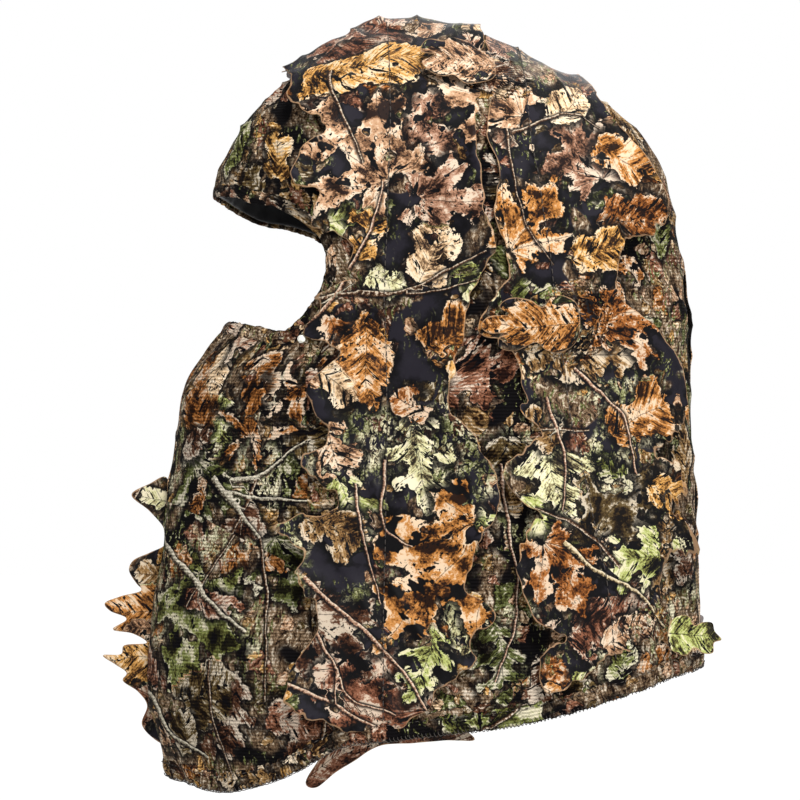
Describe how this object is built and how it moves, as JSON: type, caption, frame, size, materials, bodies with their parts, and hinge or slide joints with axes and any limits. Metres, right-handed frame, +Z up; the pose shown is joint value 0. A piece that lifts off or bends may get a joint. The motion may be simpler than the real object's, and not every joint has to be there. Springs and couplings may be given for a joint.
{
  "type": "leafy camouflage hood mask",
  "caption": "Knitted mesh head-and-neck hood with an elastic face opening and lobed cut-out leaf strips sewn over it.",
  "frame": {"origin": "point inside the crown that rests on the top of the wearer's head", "axes": "+Z up, the wearer faces -Y, +X is the wearer's left"},
  "size_m": [0.1876, 0.3241, 0.3996],
  "materials": {
    "camo_mesh": "ribbed knit printed with dark camouflage",
    "leaf_fabric": "smooth woven polyester printed with leaves, slight sheen",
    "elastic_black": "matte braided elastic",
    "thread_dark": "sewing thread",
    "lining_black": "smooth black lining with a slight sheen",
    "elastic_tip_white": "melted cord end"
  },
  "bodies": {
    "hood": {"side_panel_left": "camo_mesh", "side_panel_right": "camo_mesh", "nose_cover": "camo_mesh", "bib_panel": "camo_mesh", "crown_seam": "thread_dark", "front_seam": "thread_dark", "cheek_seam_left": "thread_dark", "cheek_seam_right": "thread_dark", "brow_casing": "camo_mesh", "hem_casing": "camo_mesh", "brow_elastic": "elastic_black", "hem_elastic": "elastic_black", "brow_lining": "lining_black", "hem_overlock": "thread_dark", "leaf_strip_front_left": "leaf_fabric", "leaf_strip_front_right": "leaf_fabric", "leaf_strip_rear_left": "leaf_fabric", "leaf_strip_rear_right": "leaf_fabric", "front_leaf_strip": "leaf_fabric", "hanging_leaf": "leaf_fabric", "strip_stitching_left": "thread_dark", "strip_stitching_right": "thread_dark", "elastic_end_left": "elastic_tip_white", "elastic_end_right": "elastic_tip_white"},
    "nose_band": {"nose_casing": "camo_mesh", "nose_elastic": "elastic_black"},
    "crown_leaf_left": {"crown_leaf_left": "leaf_fabric"},
    "crown_leaf_right": {"crown_leaf_right": "leaf_fabric"},
    "ear_leaf_left": {"ear_leaf_left": "leaf_fabric"},
    "ear_leaf_right": {"ear_leaf_right": "leaf_fabric"},
    "collar_leaf_left": {"collar_leaf_left": "leaf_fabric"},
    "collar_leaf_right": {"collar_leaf_right": "leaf_fabric"}
  },
  "joints": [
    {"name": "nose_pull_down", "type": "slide", "parent": "hood", "child": "nose_band", "axis": [0, -0.4333, -0.9012], "range_m": [0, 0.055], "deforming": ["nose_cover"]},
    {"name": "crown_leaf_lift_left", "type": "hinge", "parent": "hood", "child": "crown_leaf_left", "pos_m": [0.05527, 0.0474, -0.02468], "axis": [-0.7059, -0.128, 0.6967], "range_deg": [0, 55], "stiffness_Nm_per_rad": 0.002},
    {"name": "crown_leaf_lift_right", "type": "hinge", "parent": "hood", "child": "crown_leaf_right", "pos_m": [-0.05527, 0.0474, -0.02468], "axis": [-0.7059, 0.128, -0.6967], "range_deg": [0, 55], "stiffness_Nm_per_rad": 0.002},
    {"name": "ear_leaf_lift_left", "type": "hinge", "parent": "hood", "child": "ear_leaf_left", "pos_m": [0.07513, 0.08974, -0.15364], "axis": [0.152, -0.0141, 0.9883], "range_deg": [0, 60], "stiffness_Nm_per_rad": 0.002},
    {"name": "ear_leaf_lift_right", "type": "hinge", "parent": "hood", "child": "ear_leaf_right", "pos_m": [-0.07513, 0.08974, -0.15364], "axis": [0.152, 0.0141, -0.9883], "range_deg": [0, 60], "stiffness_Nm_per_rad": 0.002},
    {"name": "collar_leaf_lift_left", "type": "hinge", "parent": "hood", "child": "collar_leaf_left", "pos_m": [0.04772, 0.135, -0.31191], "axis": [0.1033, -0.094, -0.9902], "range_deg": [0, 50], "stiffness_Nm_per_rad": 0.002},
    {"name": "collar_leaf_lift_right", "type": "hinge", "parent": "hood", "child": "collar_leaf_right", "pos_m": [-0.04772, 0.135, -0.31191], "axis": [0.1033, 0.094, 0.9902], "range_deg": [0, 50], "stiffness_Nm_per_rad": 0.002}
  ]
}
